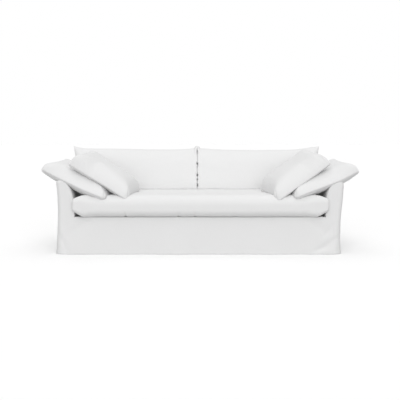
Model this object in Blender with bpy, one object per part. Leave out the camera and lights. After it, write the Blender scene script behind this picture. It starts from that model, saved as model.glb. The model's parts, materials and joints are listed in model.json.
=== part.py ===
"""A white slipcover set for a long sofa: the hollow cover of the frame, its bench seat
cushion, two back cushions and four loose pillows. Metres, +Z up, the front faces -Y,
and the origin is on the floor under the middle."""

import math

import bmesh
import bpy
from mathutils import Vector
from mathutils.bvhtree import BVHTree

# Cloth and seams
CLOTH = 0.0025  # heavy linen, with its turned seam allowance
SEAM_GAP = 0.0009  # between two pieces sewn to each other
SPLIT_GAP = 0.006  # how far the open front corners of the skirt gape at the hem
SPLIT_HEIGHT = 0.14  # the front corners are open below this height
SAME_SEAM = 0.7  # seam edges at a point whose sides agree this much are one straight seam

# Frame cover
FRONT_Y = -0.51  # the face of the skirt and of the arm fronts
BACK_Y = 0.56  # the face of the outside back, at its waist
DECK_Z = 0.321  # the top of the front rail and of the deck
HALF_WIDTH = 1.225  # the sides' nominal distance from the middle
BACK_DEPTH_RATIO = 1.35  # the back is this much thicker than the arms
BACK_RISE = 0.035  # the back's top over the arms' tops
REAR_CORNER = 0.07  # plan radius of the outer rear corners
INNER_CORNER = 0.035  # plan radius of the inner rear corners

# Outer side of each arm below the deck: height, left and right distance from the middle
SKIRT_ROWS = [
    (0.000, 1.240, 1.203),
    (0.030, 1.237, 1.203),
    (0.080, 1.231, 1.204),
    (0.140, 1.225, 1.206),
    (0.210, 1.219, 1.208),
    (0.280, 1.215, 1.210),
]

# Arm outline above the deck, in rungs from its outer to its inner edge:
# outer x, outer z, inner x, inner z
LEFT_RUNGS = [
    (1.214, 0.321, 1.080, 0.321),
    (1.214, 0.400, 1.081, 0.400),
    (1.221, 0.490, 1.089, 0.475),
    (1.230, 0.555, 1.102, 0.530),
    (1.236, 0.600, 1.122, 0.577),
    (1.233, 0.627, 1.148, 0.612),
    (1.212, 0.640, 1.184, 0.638),
]
RIGHT_RUNGS = [
    (1.211, 0.321, 1.082, 0.321),
    (1.218, 0.400, 1.082, 0.400),
    (1.228, 0.490, 1.085, 0.475),
    (1.233, 0.555, 1.096, 0.533),
    (1.236, 0.592, 1.117, 0.579),
    (1.231, 0.616, 1.143, 0.608),
    (1.210, 0.629, 1.180, 0.628),
]
RUNG_STEPS = [0.0, 0.04, 0.12, 0.27, 0.52, 0.78, 0.93, 1.0]
TOP_STEPS = [index / 7.0 for index in range(8)]  # of the last rung, the crest
SIDE_STRIP = 2  # the outside panel turns onto the front by this many columns of a rung

# How far the front turns back along its outline, and over what width: hem, outer, top, inner, rail
TURN_HEM = (0.048, 0.060)
TURN_OUTER = (0.024, 0.034)
TURN_TOP = (0.020, 0.026)
TURN_INNER = (0.014, 0.020)
TURN_RAIL = (0.006, 0.012)

# Columns of cloth faces
ARM_COLUMNS = 6
CORNER_COLUMNS = 3
BACK_COLUMNS = 18
RAIL_COLUMNS = BACK_COLUMNS + 2 * CORNER_COLUMNS

# Soft folds of the front: middle x, middle z, length, width, depth, slope in degrees
FRONT_FOLDS = [
    (1.115, 0.100, 0.200, 0.022, 0.007, 32.0),
    (1.080, 0.060, 0.130, 0.020, 0.006, 20.0),
    (1.105, 0.200, 0.110, 0.020, 0.005, 50.0),
    (-1.175, 0.090, 0.170, 0.022, 0.006, -62.0),
    (-0.980, 0.270, 0.220, 0.030, 0.004, 35.0),
    (0.975, 0.270, 0.220, 0.030, 0.004, -35.0),
]
# Slow waves of the skirt: wavelength, depth at the hem, phase
SKIRT_WAVES = [
    (0.74, 0.0035, 0.6),
    (0.43, 0.0022, 2.1),
]

# Seat cushion
SEAT_TOP = 0.515
SEAT_REST = 0.0005  # over the deck
SEAT_FRONT_Y = -0.566
SEAT_BACK_Y = 0.335
SEAT_SIDE = 1.076  # half width between the arms
SEAT_EAR_LEFT = 0.029  # how far the front corners spread over the arm fronts
SEAT_EAR_RIGHT = 0.041
SEAT_ROUND = (0.060, 0.085, 0.088)  # how far its edges round off, along x, y at the front, and z
SEAT_BACK_ROUND = 0.025
SEAT_EAR_BACK_Y = -0.513  # the ears stay in front of this
SEAT_EAR_BLEND = 0.02
SEAT_EAR_START = 0.9  # the front edge begins to spread here

# Back cushions
BACK_TOP = 0.900
BACK_SAG = 0.027  # how much lower the top runs beside the middle split
BACK_EAR = 0.030  # how far the outer top corner stands up
BACK_INNER_EAR = 0.044
BACK_FOOT_Y = 0.255
BACK_HEAD_Y = 0.365
BACK_CROWN = 0.118  # half the fullness
BACK_SINK = 0.050  # how much of the foot is pressed flat on the seat
BACK_DRAW = 0.020  # how far the outer side pulls in between its corners
LEFT_SPAN = (-1.205, -0.0285)  # at the top
RIGHT_SPAN = (-0.0225, 1.142)
BACK_FOOT_SIDE = 1.072  # half width at the foot, between the arms
BACK_FREE_Z = (0.56, 0.72)  # the outer side spreads over the arm between these heights
OUTER_SIDE = (5.0, 0.5)  # power and root of the rounding towards the outer side
INNER_SIDE = (12.0, 0.5)  # blunt where the two cushions press on each other
HEAD_AND_FOOT = (2.6, 0.55)

# Loose pillows: side, outer front corner, heading inward, slope at the outer and inner end,
# where the bend starts and ends, length, width, half fullness
PILLOWS = [
    ("pillow_left_arm", -1, (-1.362, -0.485, 0.712), 7.0, 0.0, 34.0, 0.11, 0.26, 0.62, 0.57, 0.074),
    ("pillow_left_leaning", -1, (-1.128, -0.485, 0.808), 7.0, 16.0, 40.0, 0.04, 0.28, 0.59, 0.52, 0.070),
    ("pillow_right_arm", 1, (1.362, -0.485, 0.710), 7.0, 0.0, 34.0, 0.10, 0.25, 0.62, 0.57, 0.074),
    ("pillow_right_leaning", 1, (1.140, -0.475, 0.800), 11.0, 13.0, 38.0, 0.04, 0.30, 0.60, 0.54, 0.075),
]
PILLOW_RISE = 4.0  # degrees, the rear edge over the front edge
PILLOW_EDGE = 0.004  # thickness of the sewn edge
PILLOW_DRAW = 0.022  # how far the sides pull in between the corners
PILLOW_OUTER_END = (9.0, 0.4)  # power and root of the rounding towards the outer end
PILLOW_INNER_END = (5.5, 0.4)
PILLOW_SIDES = (5.0, 0.4)
PILLOW_CUTS = 12
REST_GAP = 0.0005  # under a cushion that lies on another piece
REST_STEP = 0.0008
REST_STEPS = 40
OVER_ALL = 2.0  # a height over the whole sofa

LINEN = (0.86, 0.86, 0.85, 1.0)


def clear_scene():
    for item in list(bpy.data.objects):
        bpy.data.objects.remove(item, do_unlink=True)


def linen_material(name):
    material = bpy.data.materials.new(name)
    material.use_nodes = True
    shader = material.node_tree.nodes["Principled BSDF"]
    shader.inputs["Base Color"].default_value = LINEN
    shader.inputs["Roughness"].default_value = 0.9
    shader.inputs["Metallic"].default_value = 0.0
    return material


def add_piece(name, mesh):
    piece = bpy.data.objects.new(name, mesh)
    piece.data.materials.append(linen_material(name))
    bpy.context.scene.collection.objects.link(piece)
    mesh.shade_smooth()
    mesh.set_sharp_from_angle(angle=math.radians(50.0))
    return piece


def smooth_step(value):
    t = min(1.0, max(0.0, value))
    return t * t * (3.0 - 2.0 * t)


def turned_edge(distance, depth, width):
    """Set-back of a face that turns back in a quarter ellipse along its edge."""
    t = 1.0 - distance / width
    return depth * (1.0 - math.sqrt(1.0 - t * t)) if t > 0.0 else 0.0


# ---- frame cover ----


def outline_points():
    """The front's outline from the left hem round to the right hem: x, z, set-back, width."""

    def side(rungs, skirt_column, sign):
        points = []
        for row in SKIRT_ROWS:
            share = row[0] / DECK_Z
            depth = TURN_HEM[0] + (TURN_OUTER[0] - TURN_HEM[0]) * share
            width = TURN_HEM[1] + (TURN_OUTER[1] - TURN_HEM[1]) * share
            points.append((sign * row[skirt_column], row[0], depth, width))
        for outer_x, outer_z, _, _ in rungs[:-1]:
            points.append((sign * outer_x, outer_z, *TURN_OUTER))
        points.append((sign * rungs[-1][0], rungs[-1][1], *TURN_TOP))
        points.append((sign * rungs[-1][2], rungs[-1][3], *TURN_TOP))
        for _, _, inner_x, inner_z in reversed(rungs[1:-1]):
            points.append((sign * inner_x, inner_z, *TURN_INNER))
        points.append((sign * rungs[0][2], rungs[0][3], *TURN_RAIL))
        return points

    left = side(LEFT_RUNGS, 1, -1.0)
    right = side(RIGHT_RUNGS, 2, 1.0)
    return left + right[::-1]


OUTLINE = outline_points()


def front_fold(x, z):
    shift = 0.0
    for fold_x, fold_z, length, width, depth, slope in FRONT_FOLDS:
        turn = math.radians(slope)
        along = (x - fold_x) * math.cos(turn) + (z - fold_z) * math.sin(turn)
        across = (z - fold_z) * math.cos(turn) - (x - fold_x) * math.sin(turn)
        if abs(along) < length:
            shift += depth * math.cos(0.5 * math.pi * along / length) * math.exp(-((across / width) ** 2))
    fall = smooth_step(1.0 - z / DECK_Z)
    for wavelength, depth, phase in SKIRT_WAVES:
        shift += fall * depth * math.sin(2.0 * math.pi * x / wavelength + phase)
    return shift


def front_point(x, z):
    """A point of the front: a plain face that turns back along its outline."""
    set_back = 0.0
    for start, end in zip(OUTLINE, OUTLINE[1:]):
        run_x = end[0] - start[0]
        run_z = end[1] - start[1]
        share = ((x - start[0]) * run_x + (z - start[1]) * run_z) / (run_x * run_x + run_z * run_z)
        share = min(1.0, max(0.0, share))
        distance = math.hypot(x - start[0] - share * run_x, z - start[1] - share * run_z)
        depth = start[2] + share * (end[2] - start[2])
        width = start[3] + share * (end[3] - start[3])
        set_back = max(set_back, turned_edge(distance, depth, width))
    return Vector((x, FRONT_Y + set_back + front_fold(x, z), z))


def between(start, end, share):
    return start + (end - start) * share


def arm_ladder(rungs, sign):
    """Rows of the arm front, from the deck's height to its top."""
    rows = []
    for outer_x, outer_z, inner_x, inner_z in rungs:
        steps = TOP_STEPS if outer_z == rungs[-1][1] else RUNG_STEPS
        row = []
        for step in steps:
            row.append(front_point(sign * between(outer_x, inner_x, step), between(outer_z, inner_z, step)))
        rows.append(row)
    return rows


def rail_rows():
    """Rows of the front below the deck, from the left side to the right side."""
    left_inner = LEFT_RUNGS[0][2]
    right_inner = RIGHT_RUNGS[0][2]
    heights = SKIRT_ROWS + [(DECK_Z, LEFT_RUNGS[0][0], RIGHT_RUNGS[0][0])]
    rows = []
    for z, left_x, right_x in heights:
        row = [front_point(-between(left_x, left_inner, step), z) for step in RUNG_STEPS]
        for column in range(1, RAIL_COLUMNS):
            row.append(front_point(between(-left_inner, right_inner, column / RAIL_COLUMNS), z))
        row += [front_point(between(right_x, right_inner, step), z) for step in reversed(RUNG_STEPS)]
        rows.append(row)
    return rows


def profile_rows():
    """The cover's section from the outer hem over the top to the deck: left x, z, right x, z."""
    rows = [(left, z, right, z) for z, left, right in SKIRT_ROWS]
    for left, right in zip(LEFT_RUNGS, RIGHT_RUNGS):
        rows.append((left[0], left[1], right[0], right[1]))
    left_top, right_top = LEFT_RUNGS[-1], RIGHT_RUNGS[-1]
    for step in TOP_STEPS[1:-1]:
        rows.append(
            (
                between(left_top[0], left_top[2], step),
                between(left_top[1], left_top[3], step),
                between(right_top[0], right_top[2], step),
                between(right_top[1], right_top[3], step),
            )
        )
    for left, right in zip(reversed(LEFT_RUNGS), reversed(RIGHT_RUNGS)):
        rows.append((left[2], left[3], right[2], right[3]))
    return rows


PROFILE = profile_rows()
CREST_ROW = len(SKIRT_ROWS) + len(LEFT_RUNGS) - 2  # the seam at the top of the outside panels


def shell_row(row):
    """One level of the cover, from the left arm's front round the back to the right arm's front."""
    left_x, left_z, right_x, right_z = row
    reach = HALF_WIDTH - 0.5 * (left_x + right_x)
    back_y = BACK_Y - BACK_DEPTH_RATIO * reach
    share = min(1.0, max(0.0, reach / (HALF_WIDTH - LEFT_RUNGS[0][2])))
    radius = between(REAR_CORNER, INNER_CORNER, share)
    lift = BACK_RISE * smooth_step((0.5 * (left_z + right_z) - DECK_Z) / (LEFT_RUNGS[-1][1] - DECK_Z))
    left_front = front_point(-left_x, left_z)
    right_front = front_point(right_x, right_z)
    corner_y = back_y - radius
    points = []

    def add(x, y, side_share):
        z = between(left_z, right_z, side_share)
        points.append(Vector((x, y, z + lift * smooth_step((y - FRONT_Y) / (BACK_Y - FRONT_Y)))))

    for column in range(ARM_COLUMNS):
        step = column / ARM_COLUMNS
        add(-left_x, between(left_front.y, corner_y, step), 0.0)
    for column in range(CORNER_COLUMNS):
        turn = 0.5 * math.pi * column / CORNER_COLUMNS
        add(-left_x + radius * (1.0 - math.cos(turn)), corner_y + radius * math.sin(turn), 0.0)
    for column in range(BACK_COLUMNS + 1):
        step = column / BACK_COLUMNS
        add(between(-left_x + radius, right_x - radius, step), back_y, step)
    for column in range(1, CORNER_COLUMNS + 1):
        turn = 0.5 * math.pi * column / CORNER_COLUMNS
        add(right_x - radius * (1.0 - math.sin(turn)), corner_y + radius * math.cos(turn), 1.0)
    for column in range(1, ARM_COLUMNS + 1):
        step = column / ARM_COLUMNS
        add(right_x, between(corner_y, right_front.y, step), 1.0)
    points[0] = left_front
    points[-1] = right_front
    return points


def add_grid(bm, rows, panel):
    """Quads between rows of points that have the same count."""
    corners = [[bm.verts.new(point) for point in row] for row in rows]
    for lower, upper in zip(corners, corners[1:]):
        for column in range(len(lower) - 1):
            face = bm.faces.new((lower[column], lower[column + 1], upper[column + 1], upper[column]))
            face.material_index = panel


def deck_rows(inner_level, rail_top):
    """The level panel inside the arms and the back, on the points of its neighbours' edges."""
    last = len(inner_level) - 1
    rear = inner_level[ARM_COLUMNS : last - ARM_COLUMNS + 1]
    rows = [rail_top]
    for row in range(1, ARM_COLUMNS):
        left = inner_level[row]
        right = inner_level[last - row]
        span = [near.lerp(far, row / ARM_COLUMNS) for near, far in zip(rail_top, rear)]
        span[0] = left
        span[-1] = right
        rows.append(span)
    rows.append(rear)
    return rows


PANEL_NAMES = [
    "cover_front",
    "cover_outside_arm_left",
    "cover_outside_back",
    "cover_outside_arm_right",
    "cover_inside_arm_left",
    "cover_inside_back",
    "cover_inside_arm_right",
    "cover_deck",
]
FRONT, OUTSIDE_LEFT, OUTSIDE_BACK, OUTSIDE_RIGHT, INSIDE_LEFT, INSIDE_BACK, INSIDE_RIGHT, DECK = range(8)
CORNER_SPLITS = ({FRONT, OUTSIDE_LEFT}, {FRONT, OUTSIDE_RIGHT})


def cover_skin():
    """The whole cover as one skin of quads, each face numbered by its panel."""
    bm = bmesh.new()
    rail = rail_rows()
    strip_end = len(rail[0]) - 1 - SIDE_STRIP
    add_grid(bm, [row[: SIDE_STRIP + 1] for row in rail], OUTSIDE_LEFT)
    add_grid(bm, [row[SIDE_STRIP : strip_end + 1] for row in rail], FRONT)
    add_grid(bm, [row[strip_end:] for row in rail], OUTSIDE_RIGHT)
    for rungs, sign, outside_panel in ((LEFT_RUNGS, -1.0, OUTSIDE_LEFT), (RIGHT_RUNGS, 1.0, OUTSIDE_RIGHT)):
        ladder = arm_ladder(rungs, sign)
        add_grid(bm, [row[: SIDE_STRIP + 1] for row in ladder[:-1]], outside_panel)
        add_grid(bm, [row[: SIDE_STRIP + 1] for row in ladder[-2:]], FRONT)
        add_grid(bm, [row[SIDE_STRIP:] for row in ladder], FRONT)
    shell = [shell_row(row) for row in PROFILE]
    last = len(shell[0]) - 1
    left_seam = ARM_COLUMNS + 2
    right_seam = last - left_seam
    outside = shell[: CREST_ROW + 1]
    inside = shell[CREST_ROW:]
    add_grid(bm, [row[: left_seam + 1] for row in outside], OUTSIDE_LEFT)
    add_grid(bm, [row[left_seam : right_seam + 1] for row in outside], OUTSIDE_BACK)
    add_grid(bm, [row[right_seam:] for row in outside], OUTSIDE_RIGHT)
    add_grid(bm, [row[: left_seam + 1] for row in inside], INSIDE_LEFT)
    add_grid(bm, [row[left_seam : right_seam + 1] for row in inside], INSIDE_BACK)
    add_grid(bm, [row[right_seam:] for row in inside], INSIDE_RIGHT)
    arm_points = len(RUNG_STEPS) - 1
    rail_top = rail[-1][arm_points : len(rail[-1]) - arm_points]
    add_grid(bm, deck_rows(shell[-1], rail_top), DECK)
    bmesh.ops.remove_doubles(bm, verts=bm.verts, dist=0.0002)
    bmesh.ops.recalc_face_normals(bm, faces=bm.faces)
    bmesh.ops.triangulate(bm, faces=bm.faces, quad_method="FIXED")
    bm.normal_update()
    front_face = min(bm.faces, key=lambda face: face.calc_center_median().y)
    if front_face.normal.y > 0.0:
        bmesh.ops.reverse_faces(bm, faces=bm.faces)
    bm.normal_update()
    bm.verts.index_update()
    return bm


def panel_mesh(bm, panel):
    """One sewn piece of the skin, given its thickness and drawn back from its seams."""
    faces = [face for face in bm.faces if face.material_index == panel]
    chosen = set(faces)
    outer = {}
    inner = {}
    solid = bmesh.new()
    for vert in {vert for face in faces for vert in face.verts}:
        draw = Vector()
        for edge in vert.link_edges:
            sides = [face for face in edge.link_faces if face in chosen]
            if len(sides) != 1 or len(edge.link_faces) < 2:
                continue
            run = (edge.verts[1].co - edge.verts[0].co).normalized()
            inward = sides[0].calc_center_median() - edge.verts[0].co
            inward = inward - run * inward.dot(run)
            inward.normalize()
            if draw.dot(inward) < SAME_SEAM:
                draw += inward
        panels = {face.material_index for face in vert.link_faces}
        gap = SEAM_GAP
        if panels in CORNER_SPLITS:
            gap += SPLIT_GAP * smooth_step(1.0 - vert.co.z / SPLIT_HEIGHT)
        normal = vert.normal.copy()
        if vert.co.z < SEAM_GAP:
            draw.z = 0.0
            normal.z = 0.0
            normal.normalize()
        start = vert.co + draw * 0.5 * gap
        lean = sum(normal.dot(face.normal) for face in vert.link_faces) / len(vert.link_faces)
        outer[vert] = solid.verts.new(start)
        inner[vert] = solid.verts.new(start - normal * CLOTH / lean)
    for face in faces:
        solid.faces.new([outer[vert] for vert in face.verts])
        solid.faces.new([inner[vert] for vert in reversed(face.verts)])
        for loop in face.loops:
            if sum(side in chosen for side in loop.edge.link_faces) == 1:
                ends = (loop.vert, loop.link_loop_next.vert)
                low, high = sorted(ends, key=lambda vert: vert.index)
                solid.faces.new((outer[low], outer[high], inner[high]))
                solid.faces.new((outer[low], inner[high], inner[low]))
    bmesh.ops.recalc_face_normals(solid, faces=solid.faces)
    mesh = bpy.data.meshes.new(PANEL_NAMES[panel])
    solid.to_mesh(mesh)
    solid.free()
    return mesh


def make_cover():
    skin = cover_skin()
    for panel, name in enumerate(PANEL_NAMES):
        add_piece(name, panel_mesh(skin, panel))
    skin.free()


# ---- cushions ----


def even_cuts(count, crowding):
    """Cuts between -1 and 1 that crowd towards both ends."""
    cuts = []
    for index in range(1, count):
        even = 2.0 * index / count - 1.0
        cuts.append(between(even, math.sin(0.5 * math.pi * even), crowding))
    return cuts


def cut_block(cuts):
    """A cube from -1 to 1, cut at the given places along x, y and z."""
    bm = bmesh.new()
    bmesh.ops.create_cube(bm, size=2.0)
    for axis, places in enumerate(cuts):
        normal = Vector((0.0, 0.0, 0.0))
        normal[axis] = 1.0
        for place in places:
            bmesh.ops.bisect_plane(
                bm,
                geom=bm.verts[:] + bm.edges[:] + bm.faces[:],
                dist=1e-6,
                plane_co=normal * place,
                plane_no=normal,
            )
    return bm


def shaped_piece(name, bm, place):
    for vert in bm.verts:
        vert.co = place(vert.co)
    bmesh.ops.triangulate(bm, faces=bm.faces, quad_method="FIXED")
    bmesh.ops.recalc_face_normals(bm, faces=bm.faces)
    mesh = bpy.data.meshes.new(name)
    bm.to_mesh(mesh)
    bm.free()
    return add_piece(name, mesh)


def make_seat():
    bottom = DECK_Z + SEAT_REST
    half = Vector((SEAT_SIDE, 0.5 * (SEAT_BACK_Y - SEAT_FRONT_Y), 0.5 * (SEAT_TOP - bottom)))
    middle = Vector((0.0, 0.5 * (SEAT_BACK_Y + SEAT_FRONT_Y), 0.5 * (SEAT_TOP + bottom)))
    radius = Vector(SEAT_ROUND)

    def place(unit):
        flat = Vector([unit[i] * half[i] for i in range(3)])
        radius.y = SEAT_ROUND[1] if unit.y < 0.0 else SEAT_BACK_ROUND
        core = Vector([max(-half[i] + radius[i], min(half[i] - radius[i], flat[i])) for i in range(3)])
        off = Vector([(flat[i] - core[i]) / radius[i] for i in range(3)])
        if off.length > 0.0:
            off = off.normalized()
        point = middle + core + Vector([off[i] * radius[i] for i in range(3)])
        ear = SEAT_EAR_LEFT if point.x < 0.0 else SEAT_EAR_RIGHT
        forward = smooth_step((SEAT_EAR_BACK_Y - point.y) / SEAT_EAR_BLEND)
        sideways = smooth_step((abs(point.x) - SEAT_EAR_START) / (SEAT_SIDE - SEAT_EAR_START))
        point.x += math.copysign(ear * forward * sideways, point.x)
        return point

    ear_start = (SEAT_EAR_BACK_Y - middle.y) / half.y
    front_cuts = [-0.985, -0.955, -0.915, ear_start, -0.86]
    cuts = (
        [-0.985, -0.96] + even_cuts(16, 0.3) + [0.96, 0.985],
        sorted(front_cuts + [-0.55, -0.2, 0.2, 0.6, 0.945]),
        [-0.7, -0.3, 0.3, 0.7],
    )
    return shaped_piece("seat_cushion", cut_block(cuts), place)


def fullness(value, power, root):
    return max(0.0, 1.0 - abs(value) ** power) ** root


def make_back_cushion(name, span, outer_sign):
    """A knife-edge cushion that leans on the back and stands on the seat."""
    floor = SEAT_TOP + REST_GAP
    foot = floor - BACK_SINK

    def place(unit):
        across, up, side = unit.x, unit.z, unit.y
        height = between(foot, BACK_TOP, 0.5 + 0.5 * up)
        free = smooth_step((height - BACK_FREE_Z[0]) / (BACK_FREE_Z[1] - BACK_FREE_Z[0]))
        left, right = span
        if outer_sign < 0:
            left = between(-BACK_FOOT_SIDE, left, free)
        else:
            right = between(BACK_FOOT_SIDE, right, free)
        outer = outer_sign * across > 0.0
        draw = BACK_DRAW * (1.0 - up * up) * free if outer else 0.0
        half = 0.5 * (right - left)
        x = 0.5 * (left + right) + across * (half - draw * abs(across) ** 3)
        high = smooth_step(0.5 + 0.5 * up)
        inward = 0.5 - 0.5 * outer_sign * across
        ear = (BACK_EAR if outer else BACK_INNER_EAR) * smooth_step(2.0 * up - 1.0) * abs(across) ** 10
        z = height + ear - BACK_SAG * high * smooth_step(inward / 0.8)
        y = between(BACK_FOOT_Y, BACK_HEAD_Y, 0.5 + 0.5 * up)
        full = fullness(across, *(OUTER_SIDE if outer else INNER_SIDE)) * fullness(up, *HEAD_AND_FOOT)
        y += side * (0.5 * PILLOW_EDGE + BACK_CROWN * full)
        return Vector((x, y, max(z, floor)))

    cuts = (even_cuts(13, 0.55), [], even_cuts(9, 0.5))
    return shaped_piece(name, cut_block(cuts), place)


def make_pillow(row):
    name, sign, corner, heading, slope_out, slope_in, bend_start, bend_end, length, width, crown = row
    turn = math.radians(heading)
    ahead = Vector((-sign * math.cos(turn), -math.sin(turn), 0.0))
    rise = math.radians(PILLOW_RISE)
    rear = Vector((-sign * math.sin(turn), math.cos(turn), 0.0)) * math.cos(rise)
    rear.z = math.sin(rise)

    def slope_at(travel):
        share = smooth_step((travel - bend_start) / (bend_end - bend_start))
        return math.radians(between(slope_out, slope_in, share))

    def path(travel):
        steps = 24
        point = Vector(corner)
        for step in range(steps):
            slope = slope_at((step + 0.5) * travel / steps)
            point += (ahead * math.cos(slope) - Vector((0.0, 0.0, math.sin(slope)))) * travel / steps
        return point

    def place(unit):
        along, across, side = unit.x, unit.y, unit.z
        drawn_along = along * (1.0 - PILLOW_DRAW / length * 2.0 * (1.0 - across * across) * abs(along) ** 3)
        drawn_across = across * (1.0 - PILLOW_DRAW / width * 2.0 * (1.0 - along * along) * abs(across) ** 3)
        travel = length * (0.5 + 0.5 * drawn_along)
        slope = slope_at(travel)
        normal = ahead * math.sin(slope) + Vector((0.0, 0.0, math.cos(slope)))
        end = PILLOW_OUTER_END if along < 0.0 else PILLOW_INNER_END
        full = crown * fullness(along, *end) * fullness(across, *PILLOW_SIDES)
        depth = width * (0.5 + 0.5 * drawn_across)
        return path(travel) + rear * depth + normal * side * (0.5 * PILLOW_EDGE + full)

    cuts = (even_cuts(PILLOW_CUTS, 0.6), even_cuts(PILLOW_CUTS, 0.6), [])
    return shaped_piece(name, cut_block(cuts), place)


def rest_on(piece, carriers):
    """Presses a soft piece up where it would sink into what carries it, and leaves it just clear."""
    trees = []
    for carrier in carriers:
        bm = bmesh.new()
        bm.from_mesh(carrier.data)
        trees.append(BVHTree.FromBMesh(bm))
        bm.free()
    bm = bmesh.new()
    bm.from_mesh(piece.data)
    down = Vector((0.0, 0.0, -1.0))
    pressed = set()
    for vert in bm.verts:
        for tree in trees:
            hit = tree.ray_cast(Vector((vert.co.x, vert.co.y, OVER_ALL)), down)
            if hit[0] is not None and vert.co.z < hit[0].z:
                vert.co.z = hit[0].z
                pressed.add(vert)
    for _ in range(REST_STEPS):
        own = BVHTree.FromBMesh(bm)
        bm.faces.ensure_lookup_table()
        sunk = {pair[0] for tree in trees for pair in own.overlap(tree)}
        if not sunk:
            break
        lifted = {vert for index in sunk for vert in bm.faces[index].verts}
        for vert in lifted:
            vert.co.z += REST_STEP
        pressed |= lifted
    for vert in pressed:
        vert.co.z += REST_GAP
    bm.to_mesh(piece.data)
    bm.free()


clear_scene()
make_cover()
seat = make_seat()
back_left = make_back_cushion("back_cushion_left", LEFT_SPAN, -1)
back_right = make_back_cushion("back_cushion_right", RIGHT_SPAN, 1)
pieces = bpy.data.objects
for row in PILLOWS:
    pillow = make_pillow(row)
    side = "left" if row[1] < 0 else "right"
    below = [seat, pieces[f"cover_inside_arm_{side}"], pieces[f"cover_outside_arm_{side}"]]
    if "leaning" in row[0]:
        below.append(pieces[f"pillow_{side}_arm"])
    rest_on(pillow, below)
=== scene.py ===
import functools
import json
import math

import bmesh
import bpy
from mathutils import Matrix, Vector, noise
from mathutils.bvhtree import BVHTree

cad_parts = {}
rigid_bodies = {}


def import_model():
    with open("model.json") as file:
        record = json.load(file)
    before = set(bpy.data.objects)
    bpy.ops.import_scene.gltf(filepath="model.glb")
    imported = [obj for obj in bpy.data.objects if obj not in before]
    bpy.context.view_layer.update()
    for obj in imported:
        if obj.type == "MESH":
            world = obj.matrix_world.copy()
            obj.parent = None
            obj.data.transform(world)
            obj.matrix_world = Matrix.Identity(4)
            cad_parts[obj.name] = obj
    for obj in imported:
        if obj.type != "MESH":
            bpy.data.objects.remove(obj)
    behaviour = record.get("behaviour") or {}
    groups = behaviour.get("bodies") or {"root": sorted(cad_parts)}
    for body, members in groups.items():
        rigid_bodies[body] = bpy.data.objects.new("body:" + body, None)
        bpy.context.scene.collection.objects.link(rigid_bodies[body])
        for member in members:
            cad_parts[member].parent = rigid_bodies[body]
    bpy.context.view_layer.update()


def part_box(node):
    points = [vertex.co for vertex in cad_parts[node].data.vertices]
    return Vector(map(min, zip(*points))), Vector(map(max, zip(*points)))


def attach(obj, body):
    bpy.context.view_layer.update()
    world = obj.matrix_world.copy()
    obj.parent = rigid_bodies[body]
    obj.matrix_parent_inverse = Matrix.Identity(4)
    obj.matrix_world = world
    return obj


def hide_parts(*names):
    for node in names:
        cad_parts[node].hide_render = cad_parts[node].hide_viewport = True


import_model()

# A white slipcover set for a long sofa, in metres. +X right seen from the front, -Y front, +Z up.


def between(start, end, share):
    return start + (end - start) * share


def smoothStep(value):
    t = min(1.0, max(0.0, value))
    return t * t * (3.0 - 2.0 * t)


# a row at a fractional place in a table, on a smooth curve through its rows
def curveThrough(rows, place):
    last = len(rows) - 1
    index = min(int(place), last - 1)
    t = place - index
    before, start, end, after = (rows[min(last, max(0, index + k))] for k in (-1, 0, 1, 2))
    return tuple(
        0.5 * (2.0 * b + (c - a) * t + (2.0 * a - 5.0 * b + 4.0 * c - d) * t * t
               + (3.0 * b - a - 3.0 * c + d) * t ** 3)
        for a, b, c, d in zip(before, start, end, after)
    )


# shares from 0 to 1 that crowd towards both ends
def crowded(count, crowding):
    shares = []
    for index in range(count + 1):
        even = index / count
        shares.append(between(even, 0.5 - 0.5 * math.cos(math.pi * even), crowding))
    return shares


def softNoise(point, scale, seed):
    return noise.noise(Vector((point.x * scale[0] + seed, point.y * scale[1], point.z * scale[2])))


# unevenness of a surface: each row is a depth, a scale along x, y and z, and a seed
def unevenness(point, rows):
    return sum(depth * softNoise(point, scale, seed) for depth, scale, seed in rows)


# the cloth's finish: a plain weave with slubs, thicker places along its threads
clothLook = {
    "colour": (0.785, 0.785, 0.785, 1.0),
    "deepColour": (0.760, 0.760, 0.760, 1.0),
    "threadPitch": 0.0011,
    "threadDepth": 0.00018,
    "wovenShare": 0.35,
    "slubScale": 180.0,
    "slubStretch": 0.12,
    "slubDetail": 3.0,
    "bumpStrength": 0.35,
    "roughness": 0.92,
    "sheen": 0.12,
    "sheenRoughness": 0.6,
    "gloss": 0.2,
}


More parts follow.
